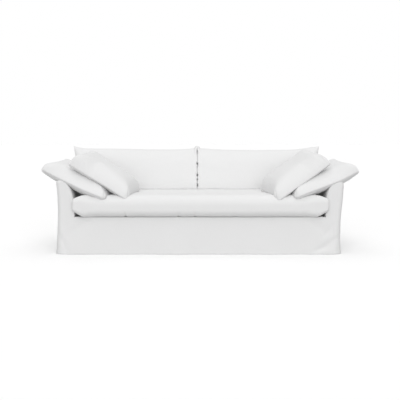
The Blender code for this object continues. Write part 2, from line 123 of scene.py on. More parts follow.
def weaveGroup(look):
    group = bpy.data.node_groups.new("linenWeave", "ShaderNodeTree")
    for name in ("Pitch", "Slub"):
        group.interface.new_socket(name=name, in_out="INPUT", socket_type="NodeSocketFloat")
    for name in ("Light", "Deep"):
        group.interface.new_socket(name=name, in_out="INPUT", socket_type="NodeSocketColor")
    group.interface.new_socket(name="Colour", in_out="OUTPUT", socket_type="NodeSocketColor")
    group.interface.new_socket(name="Height", in_out="OUTPUT", socket_type="NodeSocketFloat")
    nodes, links = group.nodes, group.links
    start = nodes.new("NodeGroupInput")
    end = nodes.new("NodeGroupOutput")
    place = nodes.new("ShaderNodeUVMap")
    place.uv_map = "cut"
    split = nodes.new("ShaderNodeSeparateXYZ")
    links.new(place.outputs["UV"], split.inputs["Vector"])
    threads = []
    for axis in ("X", "Y"):
        turns = nodes.new("ShaderNodeMath")
        turns.operation = "DIVIDE"
        links.new(split.outputs[axis], turns.inputs[0])
        links.new(start.outputs["Pitch"], turns.inputs[1])
        scaled = nodes.new("ShaderNodeMath")
        scaled.operation = "MULTIPLY"
        scaled.inputs[1].default_value = 2.0 * math.pi
        links.new(turns.outputs[0], scaled.inputs[0])
        wave = nodes.new("ShaderNodeMath")
        wave.operation = "SINE"
        links.new(scaled.outputs[0], wave.inputs[0])
        threads.append(wave)
    woven = nodes.new("ShaderNodeMath")
    woven.operation = "MULTIPLY"
    links.new(threads[0].outputs[0], woven.inputs[0])
    links.new(threads[1].outputs[0], woven.inputs[1])
    stretch = nodes.new("ShaderNodeMapping")
    stretch.inputs["Scale"].default_value = (1.0, look["slubStretch"], 1.0)
    links.new(place.outputs["UV"], stretch.inputs["Vector"])
    slub = nodes.new("ShaderNodeTexNoise")
    slub.inputs["Detail"].default_value = look["slubDetail"]
    links.new(start.outputs["Slub"], slub.inputs["Scale"])
    links.new(stretch.outputs["Vector"], slub.inputs["Vector"])
    height = nodes.new("ShaderNodeMath")
    height.operation = "MULTIPLY_ADD"
    height.inputs[1].default_value = look["wovenShare"]
    links.new(woven.outputs[0], height.inputs[0])
    links.new(slub.outputs["Fac"], height.inputs[2])
    links.new(height.outputs[0], end.inputs["Height"])
    tone = nodes.new("ShaderNodeMix")
    tone.data_type = "RGBA"
    links.new(slub.outputs["Fac"], tone.inputs["Factor"])
    links.new(start.outputs["Deep"], tone.inputs["A"])
    links.new(start.outputs["Light"], tone.inputs["B"])
    links.new(tone.outputs["Result"], end.inputs["Colour"])
    return group


weave = weaveGroup(clothLook)


def clothMaterial(name, look):
    material = bpy.data.materials.new(name)
    material.use_nodes = True
    nodes, links = material.node_tree.nodes, material.node_tree.links
    shader = nodes["Principled BSDF"]
    shader.inputs["Roughness"].default_value = look["roughness"]
    shader.inputs["Sheen Weight"].default_value = look["sheen"]
    shader.inputs["Sheen Roughness"].default_value = look["sheenRoughness"]
    shader.inputs["Specular IOR Level"].default_value = look["gloss"]
    cloth = nodes.new("ShaderNodeGroup")
    cloth.node_tree = weave
    cloth.inputs["Pitch"].default_value = look["threadPitch"]
    cloth.inputs["Slub"].default_value = look["slubScale"]
    cloth.inputs["Light"].default_value = look["colour"]
    cloth.inputs["Deep"].default_value = look["deepColour"]
    bump = nodes.new("ShaderNodeBump")
    bump.inputs["Strength"].default_value = look["bumpStrength"]
    bump.inputs["Distance"].default_value = look["threadDepth"]
    links.new(cloth.outputs["Colour"], shader.inputs["Base Color"])
    links.new(cloth.outputs["Height"], bump.inputs["Height"])
    links.new(bump.outputs["Normal"], shader.inputs["Normal"])
    return material


linen = clothMaterial("whiteLinen", clothLook)


# a finished mesh as a piece that stands for the named solids
def addPiece(name, bm, nodes):
    mesh = bpy.data.meshes.new(name)
    bm.to_mesh(mesh)
    bm.free()
    mesh.materials.clear()
    mesh.materials.append(linen)
    mesh.shade_smooth()
    piece = bpy.data.objects.new(name, mesh)
    bpy.context.scene.collection.objects.link(piece)
    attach(piece, "root")
    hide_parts(*nodes)
    return piece


# the cover of the sofa's frame
coverSizes = {
    "frontY": -0.51,
    "backY": 0.56,
    "deckZ": 0.321,
    "halfWidth": 1.225,
    "backDepthRatio": 1.35,  # how much faster the back leans in than the arms do
    "backRise": 0.035,  # how much higher the back's top is than the arms' tops
    "rearCorner": 0.07,
    "innerCorner": 0.035,
    "cloth": 0.0022,
    "seamDip": 0.0014,
    "splitGap": 0.016,  # how wide the front's side seams stand open at the hem
    "splitShares": (0.4, 0.6),  # of that gap, on the front and on the outside arm
    "splitHeight": 0.20,
    "splitReach": (0.05, 0.14),
    "flare": 0.025,  # how far the skirt stands forward at the hem
    "flarePower": 1.5,
    "crestPower": 6,  # how close to the arm's top its front starts to round over
    "stripShare": 0.06,  # of the arm's front, the strip that belongs to the outside arm
    # how deep the front's edge turns back and over which width
    "turnHem": (0.078, 0.075),
    "turnOuter": (0.062, 0.046),
    "turnTop": (0.020, 0.026),
    "turnInner": (0.014, 0.020),
    "turnRail": (0.006, 0.012),
}

# height, left and right distance of the skirt's sides from the middle
skirtRows = [
    (0.000, 1.247, 1.220),
    (0.030, 1.246, 1.218),
    (0.080, 1.245, 1.218),
    (0.140, 1.244, 1.219),
    (0.210, 1.241, 1.221),
    (0.280, 1.237, 1.222),
]

# rungs across each arm front: outer x, outer z, inner x, inner z
leftRungs = [
    (1.235, 0.321, 1.080, 0.321),
    (1.234, 0.400, 1.081, 0.400),
    (1.236, 0.490, 1.089, 0.475),
    (1.239, 0.555, 1.102, 0.530),
    (1.242, 0.600, 1.122, 0.577),
    (1.238, 0.627, 1.148, 0.612),
    (1.214, 0.640, 1.184, 0.638),
]
rightRungs = [
    (1.224, 0.321, 1.082, 0.321),
    (1.231, 0.400, 1.082, 0.400),
    (1.239, 0.490, 1.085, 0.475),
    (1.241, 0.555, 1.096, 0.533),
    (1.243, 0.592, 1.117, 0.579),
    (1.234, 0.616, 1.143, 0.608),
    (1.211, 0.629, 1.180, 0.628),
]

# soft folds of the front: middle x, middle z, length, width, depth, slope in degrees
frontFolds = [
    (1.115, 0.100, 0.200, 0.022, 0.007, 32.0),
    (1.080, 0.060, 0.130, 0.020, 0.006, 20.0),
    (1.105, 0.200, 0.110, 0.020, 0.005, 50.0),
    (-1.175, 0.090, 0.170, 0.022, 0.006, -62.0),
    (-0.980, 0.270, 0.220, 0.030, 0.004, 35.0),
    (0.975, 0.270, 0.220, 0.030, 0.004, -35.0),
]
# slow waves of the skirt: wavelength, depth at the hem, phase
skirtWaves = [
    (0.74, 0.0035, 0.6),
    (0.43, 0.0022, 2.1),
]


def turnedEdge(distance, depth, width):
    t = 1.0 - distance / width
    return depth * (1.0 - math.sqrt(1.0 - t * t)) if t > 0.0 else 0.0


# the cover's section from the outer hem over the top to the deck: left x, z, right x, z
def profileRows():
    rows = [(left, z, right, z) for z, left, right in skirtRows]
    rows += [(left[0], left[1], right[0], right[1]) for left, right in zip(leftRungs, rightRungs)]
    top = [(left[2], left[3], right[2], right[3]) for left, right in zip(leftRungs, rightRungs)]
    return rows + top[::-1]


profile = profileRows()
deckRow = len(skirtRows)
topRow = deckRow + len(leftRungs) - 1  # the crest of each arm lies between this row and the next
crestRow = topRow - 1  # where the outside panels are sewn to the inside ones
lastRow = len(profile) - 1


def levels(first, last, each):
    return [first + step / each for step in range(int(round((last - first) * each)) + 1)]


coverMesh = {
    "armColumns": 24,
    "armCrowding": 0.55,
    "rungSteps": 8,
    "railColumns": 170,
    "sideColumns": 80,
    "sideCrowding": 0.5,
    "cornerColumns": 9,
    "seamColumn": 6,  # the corner's column where the outside arm and the outside back are sewn together
    "backColumns": 190,
    # rows of the skirt: closer at the hem's fold and under the rail
    "railHeights": [0.0, 0.006, 0.014, 0.022, 0.028, 0.0315, 0.0345, 0.038, 0.046]
    + [0.058 + 0.0122 * step for step in range(21)]
    + [0.3085, 0.3125, 0.3155, 0.3178, 0.3195, 0.3205, 0.321],
    "weld": 0.0003,
}


# the section at a height of the skirt
def skirtLevel(z):
    table = skirtRows + [(coverSizes["deckZ"], leftRungs[0][0], rightRungs[0][0])]
    for index in range(len(table) - 1):
        if z <= table[index + 1][0] + 1e-9:
            share = (z - table[index][0]) / (table[index + 1][0] - table[index][0])
            _, leftX, rightX = curveThrough(table, index + share)
            return leftX, z, rightX, z
    return table[-1][1], z, table[-1][2], z


skirtLevels = [skirtLevel(z) for z in coverMesh["railHeights"]]
rungSteps = coverMesh["rungSteps"]
armShares = crowded(coverMesh["armColumns"], coverMesh["armCrowding"])
outerPlaces = levels(deckRow, crestRow, rungSteps)
innerPlaces = levels(crestRow, topRow, rungSteps) + [topRow + share for share in armShares[1:]]
innerPlaces += levels(topRow + 1, lastRow, rungSteps)[1:]


# the turn of the front's edge, at each row of the section
def turnRows(sizes):
    rows = []
    for z, _, _ in skirtRows:
        share = z / sizes["deckZ"]
        rows.append([between(hem, outer, share) for hem, outer in zip(sizes["turnHem"], sizes["turnOuter"])])
    for index in range(topRow - deckRow):
        share = (index / (topRow - deckRow)) ** 2
        rows.append([between(outer, top, share) for outer, top in zip(sizes["turnOuter"], sizes["turnTop"])])
    rows += [sizes["turnTop"]] * 2
    rows += [sizes["turnInner"]] * (lastRow - topRow - 2) + [sizes["turnRail"]]
    return rows


# one side of the front's outline, from the hem over the arm to the middle: x, z, set-back, width
def outlinePoints(sizes, column, sign):
    turns = turnRows(sizes)
    points = []
    for level in skirtLevels[:-1]:
        share = level[1] / sizes["deckZ"]
        turn = [between(hem, outer, share) for hem, outer in zip(sizes["turnHem"], sizes["turnOuter"])]
        points.append((sign * level[column], level[column + 1], *turn))
    for place in outerPlaces[:-1] + innerPlaces:
        level = curveThrough(profile, place)
        index = min(int(place), lastRow - 1)
        turn = [between(*pair, place - index) for pair in zip(turns[index], turns[index + 1])]
        points.append((sign * level[column], level[column + 1], *turn))
    points.append((0.0, sizes["deckZ"], *sizes["turnRail"]))
    return points


outlines = (outlinePoints(coverSizes, 0, -1.0), outlinePoints(coverSizes, 2, 1.0))


def frontFold(x, z):
    shift = 0.0
    for foldX, foldZ, length, width, depth, slope in frontFolds:
        turn = math.radians(slope)
        along = (x - foldX) * math.cos(turn) + (z - foldZ) * math.sin(turn)
        across = (z - foldZ) * math.cos(turn) - (x - foldX) * math.sin(turn)
        if abs(along) < length:
            shift += depth * math.cos(0.5 * math.pi * along / length) * math.exp(-((across / width) ** 2))
    fall = smoothStep(1.0 - z / coverSizes["deckZ"])
    for wavelength, depth, phase in skirtWaves:
        shift += fall * depth * math.sin(2.0 * math.pi * x / wavelength + phase)
    return shift


# a point of the front: a plain face that turns back along its outline
@functools.lru_cache(maxsize=None)
def frontPoint(x, z):
    setBack = 0.0
    outline = outlines[x > 0.0]
    for start, end in zip(outline, outline[1:]):
        runX = end[0] - start[0]
        runZ = end[1] - start[1]
        share = ((x - start[0]) * runX + (z - start[1]) * runZ) / max(1e-9, runX * runX + runZ * runZ)
        share = min(1.0, max(0.0, share))
        distance = math.hypot(x - start[0] - share * runX, z - start[1] - share * runZ)
        depth = between(start[2], end[2], share)
        width = between(start[3], end[3], share)
        setBack = max(setBack, turnedEdge(distance, depth, width))
    fall = max(0.0, 1.0 - z / coverSizes["deckZ"])
    forward = coverSizes["flare"] * fall ** coverSizes["flarePower"]
    return Vector((x, coverSizes["frontY"] - forward + setBack + frontFold(x, z), z))


# A point of the sides and the back. around runs 0 to 1 on the left arm, to 2 round its corner,
# to 3 on the back, to 4 round the right corner and to 5 on the right arm.
def shellPoint(level, around):
    sizes = coverSizes
    leftX, leftZ, rightX, rightZ = level
    reach = sizes["halfWidth"] - 0.5 * (leftX + rightX)
    backY = sizes["backY"] - sizes["backDepthRatio"] * reach
    share = min(1.0, max(0.0, reach / (sizes["halfWidth"] - leftRungs[0][2])))
    radius = between(sizes["rearCorner"], sizes["innerCorner"], share)
    cornerY = backY - radius
    rise = smoothStep((0.5 * (leftZ + rightZ) - sizes["deckZ"]) / (leftRungs[-1][1] - sizes["deckZ"]))
    if around <= 1.0:
        x, y, side = -leftX, between(frontPoint(-leftX, leftZ).y, cornerY, around), 0.0
    elif around <= 2.0:
        turn = 0.5 * math.pi * (around - 1.0)
        x, y, side = -leftX + radius * (1.0 - math.cos(turn)), cornerY + radius * math.sin(turn), 0.0
    elif around <= 3.0:
        side = around - 2.0
        x, y = between(-leftX + radius, rightX - radius, side), backY
    elif around <= 4.0:
        turn = 0.5 * math.pi * (around - 3.0)
        x, y, side = rightX - radius * (1.0 - math.sin(turn)), cornerY + radius * math.cos(turn), 1.0
    else:
        x, y, side = rightX, between(cornerY, frontPoint(rightX, rightZ).y, around - 4.0), 1.0
    lift = sizes["backRise"] * rise * smoothStep((y - sizes["frontY"]) / (sizes["backY"] - sizes["frontY"]))
    return Vector((x, y, between(leftZ, rightZ, side) + lift))


# a grid of cloth, placed column by column and row by row
def clothGrid(bm, panel, columns, rows, place):
    made = bmesh.ops.create_grid(bm, x_segments=len(columns) - 1, y_segments=len(rows) - 1, size=1.0)
    for vert in made["verts"]:
        column = round(0.5 * (vert.co.x + 1.0) * (len(columns) - 1))
        row = round(0.5 * (vert.co.y + 1.0) * (len(rows) - 1))
        vert.co = place(columns[column], rows[row])
    for face in {face for vert in made["verts"] for face in vert.link_faces}:
        face.material_index = panel


# each sewn panel: piece, node, and the width and length of the cloth that it is cut from
panels = [
    ("coverFront", "cover_front", (2.52, 0.66)),
    ("coverOutsideArmLeft", "cover_outside_arm_left", (1.17, 0.66)),
    ("coverOutsideBack", "cover_outside_back", (2.41, 0.68)),
    ("coverOutsideArmRight", "cover_outside_arm_right", (1.17, 0.66)),
    ("coverInsideArmLeft", "cover_inside_arm_left", (1.12, 0.42)),
    ("coverInsideBack", "cover_inside_back", (2.40, 0.44)),
    ("coverInsideArmRight", "cover_inside_arm_right", (1.12, 0.42)),
]
front, outsideLeft, outsideBack, outsideRight, insideLeft, insideBack, insideRight = range(len(panels))


# the whole cover as one welded skin, each face numbered by its panel
def coverSkin(mesh):
    bm = bmesh.new()
    outerLevels = skirtLevels + [curveThrough(profile, place) for place in outerPlaces[1:]]
    innerLevels = [curveThrough(profile, place) for place in innerPlaces]
    shares = armShares
    strip = min(range(len(shares)), key=lambda index: abs(shares[index] - coverSizes["stripShare"]))

    def railPoint(column, level):
        kind, share = column
        leftX, z, rightX, _ = level
        if kind == "left":
            return frontPoint(-between(leftX, leftRungs[0][2], share), z)
        if kind == "right":
            return frontPoint(between(rightX, rightRungs[0][2], share), z)
        return frontPoint(between(-leftRungs[0][2], rightRungs[0][2], share), z)

    leftArm = [("left", share) for share in shares]
    rightArm = [("right", share) for share in reversed(shares)]
    rail = [("rail", index / mesh["railColumns"]) for index in range(mesh["railColumns"] + 1)]
    rightStrip = len(rightArm) - 1 - strip
    frontColumns = leftArm[strip:] + rail[1:-1] + rightArm[: rightStrip + 1]
    clothGrid(bm, outsideLeft, leftArm[: strip + 1], skirtLevels, railPoint)
    clothGrid(bm, front, frontColumns, skirtLevels, railPoint)
    clothGrid(bm, outsideRight, rightArm[rightStrip:], skirtLevels, railPoint)
    for column, sign, outside in ((0, -1.0, outsideLeft), (2, 1.0, outsideRight)):
        def armPoint(share, place, column=column, sign=sign):
            outer = curveThrough(profile, deckRow + place)
            inner = curveThrough(profile, lastRow - place)
            crest = curveThrough(profile, topRow + share)
            spot = []
            for axis in (column, column + 1):
                straight = between(profile[topRow][axis], profile[topRow + 1][axis], share)
                rounding = (crest[axis] - straight) * (place / (topRow - deckRow)) ** coverSizes["crestPower"]
                spot.append(between(outer[axis], inner[axis], share) + rounding)
            return frontPoint(sign * spot[0], spot[1])

        places = levels(0, topRow - deckRow, rungSteps)
        seam = len(places) - 1 - rungSteps
        clothGrid(bm, outside, shares[: strip + 1], places[: seam + 1], armPoint)
        clothGrid(bm, front, shares[: strip + 1], places[seam:], armPoint)
        clothGrid(bm, front, shares[strip:], places, armPoint)
    side = crowded(mesh["sideColumns"], mesh["sideCrowding"])[:-1]
    corner = [index / mesh["cornerColumns"] for index in range(mesh["cornerColumns"])]
    back = [index / mesh["backColumns"] for index in range(mesh["backColumns"])]
    seamAt = mesh["sideColumns"] + mesh["seamColumn"]
    around = side + [1.0 + c for c in corner] + [2.0 + c for c in back]
    around += [3.0 + c for c in corner] + [4.0 + c for c in side] + [5.0]
    last = len(around) - 1
    spans = (around[: seamAt + 1], around[seamAt: last - seamAt + 1], around[last - seamAt:])

    def placeShell(column, level):
        return shellPoint(level, column)

    for panel, span in zip((outsideLeft, outsideBack, outsideRight), spans):
        clothGrid(bm, panel, span, outerLevels, placeShell)
    for panel, span in zip((insideLeft, insideBack, insideRight), spans):
        clothGrid(bm, panel, span, innerLevels, placeShell)
    bmesh.ops.remove_doubles(bm, verts=bm.verts, dist=mesh["weld"])
    return bm


print("stage: cover skin")
skin = coverSkin(coverMesh)
bmesh.ops.recalc_face_normals(skin, faces=skin.faces)
skin.normal_update()
frontFace = min(skin.faces, key=lambda face: face.calc_center_median().y)
if frontFace.normal.y > 0.0:
    bmesh.ops.reverse_faces(skin, faces=skin.faces)
skin.normal_update()
print("cover skin:", len(skin.verts), "points")

reliefSizes = {
    # the slow hang and the rumples of the cloth
    "hang": [(0.0022, (2.2, 2.2, 0.9), 3.1), (0.0009, (9.0, 9.0, 6.0), 7.7)],
    "floorFade": 0.02,
    "hemHeight": 0.034,
    "hemFold": 0.0009,
    "hemStep": 0.004,
    # the stitch line of the hem: depth, distance under the fold's top, width
    "hemStitch": (0.0006, 0.003, 0.0022),
}


# how far the cloth stands out from the plain skin
def coverRelief(point, sizes):
    shift = unevenness(point, sizes["hang"]) * smoothStep(point.z / sizes["floorFade"])
    shift += sizes["hemFold"] * smoothStep((sizes["hemHeight"] - point.z) / sizes["hemStep"] + 0.5)
    depth, drop, width = sizes["hemStitch"]
    return shift - depth * math.exp(-(((point.z - sizes["hemHeight"] + drop) / width) ** 2))


# how far the skin is drawn in where two panels are sewn together
def seamDip(vert):
    sewn = len({face.material_index for face in vert.link_faces}) > 1
    return coverSizes["seamDip"] if sewn else 0.0


moves = {vert: vert.normal * (coverRelief(vert.co, reliefSizes) - seamDip(vert)) for vert in skin.verts}
for vert, move in moves.items():
    vert.co += move


# One sewn panel. The front's side seams are left open towards the hem.
def panelPiece(skin, panel):
    bm = skin.copy()
    bmesh.ops.delete(bm, geom=[face for face in bm.faces if face.material_index != panel], context="FACES")
    if panel in (front, outsideLeft, outsideRight):
        frontReach, sideReach = coverSizes["splitReach"]
        frontShare, sideShare = coverSizes["splitShares"]
        for vert in bm.verts:
            gap = coverSizes["splitGap"] * smoothStep(1.0 - vert.co.z / coverSizes["splitHeight"])
            if gap > 0.0:
                level = skirtLevel(max(0.0, vert.co.z))
                edge = level[2] if vert.co.x > 0.0 else level[0]
                if panel == front:
                    share = -frontShare * max(0.0, 1.0 - (edge - abs(vert.co.x)) / frontReach) ** 2
                else:
                    share = sideShare * max(0.0, 1.0 - (vert.co.y - coverSizes["frontY"]) / sideReach) ** 2
                vert.co.x += math.copysign(share * gap, vert.co.x)
    for face in bm.faces:
        face.material_index = 0
    layer = bm.loops.layers.uv.new("cut")
    for face in bm.faces:
        flatFront = abs(face.normal.y) > abs(face.normal.x)
        flatTop = abs(face.normal.z) > 0.8
        for loop in face.loops:
            x, y, z = loop.vert.co
            loop[layer].uv = (x, y) if flatTop else (x, z) if flatFront else (y, z)
    return bm


def thicken(piece, thickness):
    solid = piece.modifiers.new("thickness", "SOLIDIFY")
    solid.thickness = thickness
    solid.offset = -1.0


for panel, (name, node, (width, length)) in enumerate(panels):
    bm = panelPiece(skin, panel)
    area = sum(face.calc_area() for face in bm.faces)
    piece = addPiece(name, bm, [node])
    thicken(piece, coverSizes["cloth"])
    print("panel", name, "area", round(area, 3), "faces", len(piece.data.polygons))
skin.free()

deckSizes = {
    "cuts": (60, 30),
    "margin": 0.002,
}


# the level panel under the seat cushion
def makeDeck(sizes):
    low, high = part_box("cover_deck")
    bm = bmesh.new()
    columns, rows = [[index / count for index in range(count + 1)] for count in sizes["cuts"]]
    margin = sizes["margin"]

    def place(column, row):
        return Vector((between(low.x, high.x, column), between(low.y + margin, high.y - margin, row), high.z))

    clothGrid(bm, 0, columns, rows, place)
    layer = bm.loops.layers.uv.new("cut")
    for face in bm.faces:
        for loop in face.loops:
            loop[layer].uv = loop.vert.co.xy
    bm.normal_update()
    if bm.faces[:][0].normal.z < 0.0:
        bmesh.ops.reverse_faces(bm, faces=bm.faces)
    piece = addPiece("coverDeck", bm, ["cover_deck"])
    thicken(piece, coverSizes["cloth"])


makeDeck(deckSizes)


# a cube from -1 to 1 with that many cuts along x, y and z
def blockMesh(cuts):
    bm = bmesh.new()
    bmesh.ops.create_cube(bm, size=2.0)
    for axis, count in enumerate(cuts):
        edges = [edge for edge in bm.edges
                 if abs(edge.verts[0].co[axis] - edge.verts[1].co[axis]) > 1.0]
        if count:
            bmesh.ops.subdivide_edges(bm, edges=edges, cuts=count)
    return bm


def crowd(value, crowding):
    return between(value, math.sin(0.5 * math.pi * value), crowding)


def fullness(value, power, root):
    return max(0.0, 1.0 - abs(value) ** power) ** root


# lays the cut cloth's own map on a block that is still from -1 to 1
def boxUv(bm, width, length, height):
    layer = bm.loops.layers.uv.new("cut")
    for face in bm.faces:
        normal = face.normal
        for loop in face.loops:
            x, y, z = loop.vert.co
            x, y, z = 0.5 * x * width, 0.5 * y * length, 0.5 * z * height
            if abs(normal.z) > 0.5:
                loop[layer].uv = (x, y)
            elif abs(normal.y) > 0.5:
                loop[layer].uv = (x, z)
            else:
                loop[layer].uv = (y, z)


def shapeBlock(bm, place):
    bm.normal_update()
    for vert in bm.verts:
        vert.co = place(vert.co.copy())
    bmesh.ops.recalc_face_normals(bm, faces=bm.faces)
    bm.normal_update()


# a piece's surface, to find by rays where another piece lies on it
def treeOf(piece):
    bm = bmesh.new()
    bm.from_mesh(piece.data)
    tree = BVHTree.FromBMesh(bm)
    bm.free()
    return tree


seatSizes = {
    "top": 0.515,
    "rest": 0.0005,  # gap over the deck
    "frontY": -0.566,
    "backY": 0.335,
    "side": 1.076,
    "cuts": (170, 70, 18),
    "crowding": (0.35, 0.35, 0.2),
    # radii of the edges along x, y and z: in the middle, at the ends, and the share of z underneath
    "round": (0.026, 0.085, 0.088),
    "endRound": (0.022, 0.032, 0.060),
    "endRoundFull": 0.02,
    "lowRound": 0.72,
    "backRound": 0.025,
    # the front corners, which reach out over the arms' fronts
    "earLeft": 0.022,
    "earRight": 0.032,
    "earStart": 0.9,
    "earBackY": -0.513,
    "earBlend": 0.018,
    # the hollows over and under each end
    "endLift": 0.050,
    "endDrop": 0.030,
    "endLiftWidth": 0.095,
    "hollowBackY": -0.12,
    "hollowBlend": 0.16,
    # middle x, width and height of the small gaps under the front edge
    "gaps": [(-0.641, 0.008, 0.010), (-0.183, 0.012, 0.007), (-0.042, 0.010, 0.006), (0.31, 0.02, 0.004)],
    "uneven": [(0.004, (2.5, 3.0, 3.0), 11.0), (0.0015, (9.0, 9.0, 9.0), 5.0)],
    "flatFoot": 0.004,
    # sag of the top: depth, how far out it reaches, over which width it fades
    "sag": (0.003, 1.1, 0.3),
    "fill": 0.85,
}


def makeSeat(sizes):
    bottom = coverSizes["deckZ"] + sizes["rest"]
    half = Vector((sizes["side"], 0.5 * (sizes["backY"] - sizes["frontY"]), 0.5 * (sizes["top"] - bottom)))
    middle = Vector((0.0, 0.5 * (sizes["backY"] + sizes["frontY"]), 0.5 * (sizes["top"] + bottom)))
    bm = blockMesh(sizes["cuts"])
    bm.normal_update()
    boxUv(bm, 2.0 * half.x, 2.0 * half.y, 2.0 * half.z)

    def place(unit):
        flat = Vector([crowd(unit[i], sizes["crowding"][i]) * half[i] for i in range(3)])
        endRun = half.x - sizes["earStart"] - sizes["endRoundFull"]
        end = smoothStep((abs(flat.x) - sizes["earStart"]) / endRun)
        radius = Vector(sizes["round"]).lerp(Vector(sizes["endRound"]), end)
        if flat.y >= 0.0:
            radius.y = sizes["backRound"]
        if flat.z < 0.0:
            radius.z *= sizes["lowRound"]
        core = Vector([max(-half[i] + radius[i], min(half[i] - radius[i], flat[i])) for i in range(3)])
        off = Vector([(flat[i] - core[i]) / radius[i] for i in range(3)])
        if off.length > 0.0:
            off.normalize()
        point = middle + core + Vector([off[i] * radius[i] for i in range(3)])
        ear = sizes["earLeft"] if point.x < 0.0 else sizes["earRight"]
        forward = smoothStep((sizes["earBackY"] - point.y) / sizes["earBlend"])
        sideways = smoothStep((abs(point.x) - sizes["earStart"]) / (sizes["side"] - sizes["earStart"]))
        ahead = smoothStep((sizes["hollowBackY"] - point.y) / sizes["hollowBlend"])
        low = smoothStep((middle.z - point.z) / half.z)
        high = smoothStep((point.z - middle.z) / half.z)
        lift = smoothStep((abs(point.x) - half.x + sizes["endLiftWidth"]) / sizes["endLiftWidth"])
        point.z += ahead * lift * (sizes["endLift"] * low - sizes["endDrop"] * high)
        for gapX, gapWidth, gapHeight in sizes["gaps"]:
            point.z += gapHeight * ahead * low * math.exp(-(((point.x - gapX) / gapWidth) ** 2))
        point.x += math.copysign(ear * forward * sideways, point.x)
        return point

    shapeBlock(bm, place)
    sagDepth, sagReach, sagBlend = sizes["sag"]
    for vert in bm.verts:
        up = max(0.0, vert.normal.z)
        shift = unevenness(vert.co, sizes["uneven"])
        shift -= sagDepth * up * smoothStep((sagReach - abs(vert.co.x)) / sagBlend)
        if vert.co.z > bottom + sizes["flatFoot"]:
            vert.co += vert.normal * shift
        vert.co.z = max(vert.co.z, bottom)
    return addPiece("seatCushion", bm, ["seat_cushion"])


print("stage: seat cushion")
seat = makeSeat(seatSizes)

backSizes = {
    "top": 0.900,
    "footY": 0.255,
    "headY": 0.365,
    "crown": 0.118,
    "edge": 0.004,
    "rest": 0.0005,  # gap over the seat
    "sink": 0.075,  # how much of the cushion is pressed flat on the seat
    "cuts": (110, 2, 50),
    "crowding": (0.7, 0.4),
    "cutDepth": 0.1,
    "draw": 0.020,
    # the arms narrow the foot up to the first height, and it is free from the second
    "footSide": 1.072,
    "freeZ": (0.56, 0.72),
    "footBlend": 0.05,
    "earOutShape": (0.2, 10),  # from where up the outer ear stands out, and how sharply
    "innerEar": (0.020, 4.0),  # height and sharpness
    "knob": (0.019, 0.935, 0.050),  # the inner top corner's tip: height, start and width
    # fullness, as a power and a root: a high power stays full nearly up to the edge
    "headAndFoot": (2.6, 0.55),
    "outerSide": (14.0, 0.5),
    "innerSide": (90.0, 0.5),
    "innerWall": 0.84,
    "splitX": -0.0259,
    "splitFade": 0.05,
    "splitWobble": [(0.0035, (1.0, 1.0, 21.0), 2.5)],
    # height, share and width of the places where the split opens
    "splitNotches": [(0.855, 0.7, 0.016), (0.765, 0.8, 0.009), (0.735, 0.4, 0.006), (0.650, 0.7, 0.011),
                     (0.605, 0.45, 0.008), (0.550, 0.6, 0.014)],
    "notchPower": 110,
    "uneven": [(0.004, (3.0, 3.0, 4.0)), (0.0012, (11.0, 11.0, 11.0))],
    "flatFoot": 0.004,
    "fill": 0.6,
}
backCushions = [
    {
        "name": "backCushionLeft",
        "node": "back_cushion_left",
        "span": (-1.205, -0.0260),
        "outerSign": -1,
        "earOut": 0.021,
        "outerEar": (0.026, 10.0),
        "sag": (0.006, 0.020),  # of the top, at the outer end and at the inner one
        "sagShare": 1.0,
        "seed": 21.0,
    },
    {
        "name": "backCushionRight",
        "node": "back_cushion_right",
        "span": (-0.0257, 1.142),
        "outerSign": 1,
        "earOut": 0.010,
        "outerEar": (0.016, 5.0),
        "sag": (0.004, 0.0225),
        "sagShare": 0.25,
        "seed": 34.0,
    },
]


